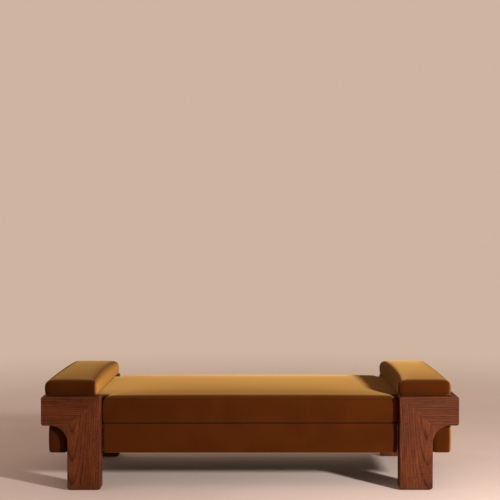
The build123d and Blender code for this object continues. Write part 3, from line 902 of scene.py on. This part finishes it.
# %% [markdown]
# ## Seams
#
# A cushion cover is panels sewn together: the top and the bottom are joined to a band
# round the sides.  Each seam is a fine ridge that follows the cushion as it settled, so
# its line is found by shooting rays at the finished cushion from around it.

# %% Seams
def skin_of(piece):
    """Something rays can be shot at."""
    mesh = piece.data
    return BVHTree.FromPolygons([v.co for v in mesh.vertices], [p.vertices for p in mesh.polygons])


def around(plan, corners, step=12 * MM):
    """Points on the zero line of a plan distance, with their outward directions."""
    spots = []
    for a, b in zip(corners, corners[1:] + corners[:1]):
        run = np.subtract(b, a)
        count = max(2, round(float(np.hypot(*run)) / step))
        spots += [np.add(a, run * i / count) for i in range(count)]
    spots = np.array(spots)
    for _ in range(12):
        slope = slope_of(plan, spots)
        size = np.maximum((slope**2).sum(-1), 0.3)
        spots = spots - (plan(*spots.T) / size)[:, None] * slope
    return spots, slope / np.linalg.norm(slope, axis=1)[:, None]


def seam_line(skin, spots, outward, z, slant, sink=0.5 * MM):
    """Where slanted rays from outside meet the cushion; slant 1 comes from above, -1 from below."""
    line = []
    for (x, y), (nx, ny) in zip(spots, outward):
        aim = Vector((-nx, -ny, -slant)).normalized()
        hit, normal, _, _ = skin.ray_cast(Vector((x, y, z)) - 0.08 * aim, aim)
        if hit is not None and (not line or (hit - line[-1]).length > 3 * MM):
            line.append(hit - sink * normal)
    return line


# Seams use the darker seam velvet, a painted shade along each seam.
def sewn(name, line, radius=1.0 * MM):
    return from_tree(name, THREAD, line, True, {"Radius": radius, "Material": seam_velvet_painted_shade}, smooth=True)


nx, ny = mattress_notch_x, mattress_notch_y
mx, my = mattress_high.x, mattress_high.y
quarter = [(mx, ny), (nx, ny), (nx, my)]
corners = quarter + [(-x, y) for x, y in quarter[::-1]] + [(-x, -y) for x, y in quarter]
corners += [(x, -y) for x, y in quarter[::-1]]
spots, outward = around(mattress_plan, corners)
mattress_skin = skin_of(mattress)
upper = seam_line(mattress_skin, spots, outward, mattress_high.z - 6 * MM, 1.0)
lower = seam_line(mattress_skin, spots, outward, mattress_low.z + 5 * MM, -0.8)
seams = {"mattress": [sewn("mattress_seam_top", upper), sewn("mattress_seam_bottom", lower)]}
bolster_skins = {}
for side_name, side in SIDES.items():
    half_x = bolster_half_x + 1 * MM
    middle = side * (bolster_low.x + bolster_high.x) / 2
    ring = [(-1, -1), (1, -1), (1, 1), (-1, 1)]
    corners = [(middle + i * half_x, j * bolster_half_y) for i, j in ring]
    spots, outward = around(
        lambda x, y: bolster_plan(*on_bolster(side_name, x, y), half_x), corners, 8 * MM
    )
    bolster_skins[side_name] = skin_of(bolsters[side_name])
    line = seam_line(bolster_skins[side_name], spots, outward, bolster_low.z + 9 * MM, -0.25)
    seams[f"bolster_{side_name}"] = [sewn(f"bolster_{side_name}_seam", line)]

# %% [markdown]
# ## Zips
#
# The covers come off for cleaning, so each has a zip on its back: a woven tape with two
# raised lips, a row of small brass teeth between them and a slider with a pull tab.  All
# of it lies on the settled skin.

# %% Zips
def back_line(skin, x0, x1, z, step):
    """Points on the back of a cushion, at one height."""
    count = round((x1 - x0) / step)
    line = []
    for i in range(count + 1):
        x = x0 + (x1 - x0) * i / count
        hit = skin.ray_cast(Vector((x, 0.9, z)), Vector((0, -1, 0)))[0]
        line.append(hit)
    return line


HALF_TAPE = [(2.4, 0.5), (3.2, 0.9), (8.6, 0.7), (9, 0.1), (9, -1.2)]  # height, depth in mm
TAPE = [(-height, depth) for height, depth in HALF_TAPE[::-1]] + HALF_TAPE


def zip_tape(name, line):
    """A strip with two raised lips, laid along a line."""
    points, faces = [], []
    for spot in line:
        points += [spot + Vector((0, depth * MM, height * MM)) for height, depth in TAPE]
    n = len(TAPE)
    for i in range(len(line) - 1):
        for k in range(n):
            a, b = i * n + k, i * n + (k + 1) % n
            faces.append((a, b, b + n, a + n))
    faces.append(tuple(range(n))[::-1])
    faces.append(tuple(range(n * (len(line) - 1), n * len(line))))
    piece = make_piece(name, points, faces, tape_cloth)
    for face in piece.data.polygons:
        face.use_smooth = False
    return piece


def plate(shell, outline, hole, y0, y1):
    """An upright plate with a hole, from two rings of the same number of points."""
    n = len(outline)
    rings = [[shell.verts.new((x, y, z)) for x, z in ring] for y in (y0, y1) for ring in (outline, hole)]
    near, near_hole, far, far_hole = rings
    for i in range(n):
        j = (i + 1) % n
        shell.faces.new((near[i], near[j], near_hole[j], near_hole[i]))
        shell.faces.new((far[j], far[i], far_hole[i], far_hole[j]))
        shell.faces.new((near[j], near[i], far[i], far[j]))
        shell.faces.new((near_hole[i], near_hole[j], far_hole[j], far_hole[i]))


def add_block(shell, middle, size):
    corners = bmesh.ops.create_cube(shell, size=1.0)["verts"]
    bmesh.ops.scale(shell, vec=size, verts=corners)
    bmesh.ops.translate(shell, vec=middle, verts=corners)


def zip_slider(name, spot):
    """Slider body and its hanging tab, as one casting."""
    shell = bmesh.new()
    x, y, z = spot
    add_block(shell, (x, y + 1.6 * MM, z), (9 * MM, 3.4 * MM, 7 * MM))
    bmesh.ops.bevel(shell, geom=shell.edges[:], offset=1.1 * MM, segments=2, affect="EDGES")
    add_block(shell, (x, y + 4.0 * MM, z), (6 * MM, 1.8 * MM, 2.6 * MM))
    count = 28
    outline, hole = [], []
    for i in range(count):
        t = 2 * math.pi * i / count
        drop = 0.0 if math.sin(t) > 0 else -13 * MM
        outline.append((x + 3.2 * MM * math.cos(t), z - 2 * MM + 2.4 * MM * math.sin(t) + drop))
        hole.append((x + 1.5 * MM * math.cos(t), z - 12.5 * MM + 1.6 * MM * math.sin(t)))
    plate(shell, outline, hole, y + 3.4 * MM, y + 4.8 * MM)
    bmesh.ops.recalc_face_normals(shell, faces=shell.faces)
    mesh = bpy.data.meshes.new(name)
    shell.to_mesh(mesh)
    shell.free()
    mesh.materials.append(brass)
    return in_scene(name, mesh)


TOOTH = {
    "Spacing": 2.3 * MM,
    "Size": (1.3 * MM, 1.5 * MM, 3.0 * MM),
    "Step aside": (0, 0, 0.8 * MM),
    "Material": brass,
}


def make_zip(name, cad_name, skin, low, high):
    """Tape, teeth and slider over the place of a zip in the frame."""
    z = (low.z + high.z) / 2
    tape = zip_tape(f"{name}_zip_tape", back_line(skin, low.x, high.x, z, 10 * MM))
    line = back_line(skin, low.x + 4 * MM, high.x - 4 * MM, z, 10 * MM)
    line = [spot + Vector((0, 0.9 * MM, 0)) for spot in line]
    teeth = from_tree(f"{name}_zip_teeth", ROW, line, False, TOOTH)
    slider = zip_slider(f"{name}_zip_slider", line[-1])
    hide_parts(cad_name)
    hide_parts(cad_name.replace("zip", "zip_pull"))
    for piece, slot in ((tape, "zip_tape"), (teeth, "zip_metal"), (slider, "zip_metal")):
        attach(piece, name)


make_zip("mattress", "mattress_zip", mattress_skin, *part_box("mattress_zip"))
for side_name in SIDES:
    cad_name = f"bolster_zip_{side_name}"
    make_zip(f"bolster_{side_name}", cad_name, bolster_skins[side_name], *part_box(cad_name))

# %% [markdown]
# ## The deck and the dust cover
#
# Under the mattress the slats are covered by a plain woven lining with a border of velvet
# where the mattress might shift and show it.  Below, a thin black cloth is stapled to the
# rails to keep dust out.  They are sheets: each is cut to a size, then pulled flat, and
# dips a little wherever nothing holds it.

# %% Sheets
slats_low, slats_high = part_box("slats")
SLAT_WIDTH, SLAT_COUNT = 70 * MM, 15
LOOSE_Y = 270 * MM  # the lining is held outside this
slat_pitch = (slats_high.x - slats_low.x - SLAT_WIDTH) / (SLAT_COUNT - 1)


def flat_sheet(name, xs, ys, height, thickness, material, keep=None):
    """A grid at a height that depends on x and y, given a thickness upwards."""
    points = [(x, y, height(x, y)) for x in xs for y in ys]
    n = len(ys)
    faces = []
    for i in range(len(xs) - 1):
        for j in range(n - 1):
            if keep is None or keep((xs[i] + xs[i + 1]) / 2, (ys[j] + ys[j + 1]) / 2):
                faces.append((i * n + j, (i + 1) * n + j, (i + 1) * n + j + 1, i * n + j + 1))
    piece = make_piece(name, points, faces, material)
    shell = bmesh.new()
    shell.from_mesh(piece.data)
    loose = [v for v in shell.verts if not v.link_faces]
    bmesh.ops.delete(shell, geom=loose, context="VERTS")
    for face in shell.faces:
        if face.normal.z < 0:
            face.normal_flip()
    shell.to_mesh(piece.data)
    shell.free()
    thick = piece.modifiers.new("thickness", "SOLIDIFY")
    thick.thickness = thickness
    thick.offset = 1.0
    return piece


def steps(a, b, step):
    return list(np.linspace(a, b, max(2, round((b - a) / step) + 1)))


def slat_dip(x, y):
    """Lining over the slats, 1.2 mm lower half way between two of them."""
    t = ((x - slats_low.x - SLAT_WIDTH / 2) / slat_pitch) % 1.0
    gap = smooth_step((abs(t - 0.5) * -2 + 1) * 2.2 - 1.1)
    return slats_high.z + 0.9 * MM - 1.2 * MM * float(gap) * (abs(y) < LOOSE_Y)


cloth_low, cloth_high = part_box("deck_cloth")
deck_cloth = flat_sheet(
    "deck_lining_sheet",
    steps(cloth_low.x, cloth_high.x, 12 * MM),
    steps(cloth_low.y, cloth_high.y, 30 * MM),
    slat_dip,
    0.8 * MM,
    lining_cloth_and_painted_shade,
)
border_low, border_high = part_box("deck_border")


def border_height(x, y):
    """Velvet border, with a folded ridge along its inner edge."""
    from_fold = max(abs(x) - cloth_high.x, abs(y) - cloth_high.y)
    return slats_high.z + 0.3 * MM + 0.9 * MM * math.exp(-((from_fold / (6 * MM)) ** 2))


def ring_steps(outer_low, inner_low, inner_high, outer_high):
    """Close steps across the two strips of the border and wider ones between them."""
    before = steps(outer_low, inner_low, 6 * MM)[:-1]
    return before + steps(inner_low, inner_high, 20 * MM) + steps(inner_high, outer_high, 6 * MM)[1:]


deck_border = flat_sheet(
    "deck_velvet_border",
    ring_steps(border_low.x, cloth_low.x, cloth_high.x, border_high.x),
    ring_steps(border_low.y, cloth_low.y, cloth_high.y, border_high.y),
    border_height,
    1.3 * MM,
    gold_velvet,
    keep=lambda x, y: abs(x) > cloth_high.x or abs(y) > cloth_high.y,
)
dust_low, dust_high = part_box("dust_cover")
BAYS = 4


def dust_dip(x, y):
    """Dust cover, dipping 2.4 mm in each of the bays between the ends and the cross ties."""
    bay = math.sin(math.pi * (x - dust_low.x) / (dust_high.x - dust_low.x) * BAYS) ** 2
    return dust_high.z - 0.9 * MM - 2.4 * MM * bay * (1 - (y / dust_high.y) ** 2)


dust_cover = flat_sheet(
    "dust_cover_sheet",
    steps(dust_low.x, dust_high.x, 20 * MM),
    steps(dust_low.y, dust_high.y, 20 * MM),
    dust_dip,
    0.6 * MM,
    dust_cloth,
)
sx, sy = dust_high.x - 12 * MM, dust_high.y - 12 * MM
staple_z = dust_high.z - 1.1 * MM
loop = [Vector((x, y, staple_z)) for x, y in ((-sx, -sy), (sx, -sy), (sx, sy), (-sx, sy))]
STAPLE = {
    "Spacing": 45 * MM,
    "Size": (10 * MM, 1.2 * MM, 0.7 * MM),
    "Step aside": (0, 0, 0),
    "Material": steel,
}
staples = from_tree("dust_cover_staples", ROW, loop, True, STAPLE)

# %% [markdown]
# ## Riding on the frame
#
# Every piece moves with a body of the frame and stands for the plain blocks it hides.

# %% Join the pieces to the frame
def finish_soft(piece, body, nodes, levels=1):
    """Subdivide a padded piece, let it ride on a body and hide the plain nodes it stands for."""
    if levels:
        smooth = piece.modifiers.new("smooth", "SUBSURF")
        smooth.levels = levels
        smooth.render_levels = levels
    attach(piece, body)
    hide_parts(*nodes)


def join_sheet(piece, node):
    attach(piece, "frame")
    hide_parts(node)


finish_soft(mattress, "mattress", ["mattress_cover", "mattress_core"])
for side_name, bolster in bolsters.items():
    nodes = [f"bolster_cover_{side_name}", f"bolster_core_{side_name}"]
    finish_soft(bolster, f"bolster_{side_name}", nodes)
for name, pad in base_pads.items():
    finish_soft(pad, "frame", [f"base_cover_{name}", f"base_foam_{name}"], levels=0)
for body, threads in seams.items():
    for thread in threads:
        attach(thread, body)
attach(staples, "frame")

join_sheet(deck_cloth, "deck_cloth")
join_sheet(deck_border, "deck_border")
join_sheet(dust_cover, "dust_cover")

# %% [markdown]
# ## Floor, light and camera
#
# A plain pale floor and a soft key light from the front right, low enough to rake across
# the velvet.  A real studio floor curves up into the wall so that no line shows; here the
# floor fades into the backdrop with distance.  The backdrop's own colour is seen by the
# camera, and a weaker one lights the piece, as paper behind a set would.

# %% Floor
BACKDROP = (0.620, 0.455, 0.358, 1)
FADE_START, FADE_END = 1.3, 6.0
FLOOR_REACH = 8.0


def pale_floor():
    """Smooth plaster floor with a faint mottling, which fades out with distance."""
    material, tree, shader, vector = new_finish("pale_floor", 31)
    cloudy = noise(tree, vector, 1.5, 4.0)
    colour = ramp(tree, cloudy, [(0.3, (0.535, 0.430, 0.398)), (0.7, (0.575, 0.462, 0.426))])
    fill(tree, shader, {"Base Color": colour, "Roughness": 0.75, "Specular IOR Level": 0.2})
    far = number(tree, "LENGTH", {0: put(tree, "ShaderNodeTexCoord").outputs["Object"]})
    stretch = {0: far, 1: FADE_START, 2: FADE_END, 3: 0.0, 4: 1.0}
    fade = flow(tree, "ShaderNodeMapRange", stretch, interpolation_type="SMOOTHSTEP")
    clear = flow(tree, "ShaderNodeBsdfTransparent")
    both = flow(tree, "ShaderNodeMixShader", {0: fade, 1: shader.outputs[0], 2: clear})
    tree.links.new(both, tree.nodes["Material Output"].inputs["Surface"])
    return material


floor_mesh = bpy.data.meshes.new("floor")
floor_corners = [(i * FLOOR_REACH, j * FLOOR_REACH, 0) for i, j in ((-1, -1), (1, -1), (1, 1), (-1, 1))]
floor_mesh.from_pydata(floor_corners, [], [(0, 1, 2, 3)])
floor_mesh.materials.append(pale_floor())
in_scene("floor", floor_mesh)

# %% Light
AIM_HEIGHT = 0.25


def area_light(name, azimuth, elevation, distance, size, power, colour):
    """Square light that looks at the daybed from an azimuth (0 in front) and an elevation."""
    a, e = math.radians(azimuth), math.radians(elevation)
    away = Vector((math.sin(a) * math.cos(e), -math.cos(a) * math.cos(e), math.sin(e)))
    data = bpy.data.lights.new(name, "AREA")
    data.shape = "SQUARE"
    data.size = size
    data.energy = power
    data.color = colour
    light = in_scene(name, data)
    light.location = away * distance + Vector((0, 0, AIM_HEIGHT))
    light.rotation_mode = "QUATERNION"
    light.rotation_quaternion = (-away).to_track_quat("-Z", "Y")


area_light("key", 41, 15.7, 5.2, 0.35, 500, (1.0, 0.96, 0.895))
area_light("fill", -60, 40, 7.0, 4.0, 40, (1.0, 0.95, 0.92))
world = bpy.data.worlds.new("studio")
bpy.context.scene.world = world
world.use_nodes = True
sky = world.node_tree
seen = flow(sky, "ShaderNodeBackground", {"Color": BACKDROP, "Strength": 1.0})
ambient = sky.nodes["Background"]
fill(sky, ambient, {"Color": (0.82, 0.62, 0.48, 1), "Strength": 0.66})
camera_ray = put(sky, "ShaderNodeLightPath").outputs["Is Camera Ray"]
both = flow(sky, "ShaderNodeMixShader", {0: camera_ray, 1: ambient.outputs[0], 2: seen})
sky.links.new(both, sky.nodes["World Output"].inputs["Surface"])
bpy.context.scene.view_settings.view_transform = "Standard"

# %% Camera
CAMERA_AWAY = 5.70
CAMERA_HEIGHT = 1.2887
CAMERA_DIP = 1.385  # degrees below level
camera_data = bpy.data.cameras.new("camera")
camera_data.sensor_width = 36.0
camera_data.lens = 86.2
camera = in_scene("camera", camera_data)
camera.location = (-9 * MM, -leg_face - CAMERA_AWAY, CAMERA_HEIGHT)
camera.rotation_euler = (math.radians(90 - CAMERA_DIP), 0, math.radians(-0.087))
bpy.context.scene.camera = camera
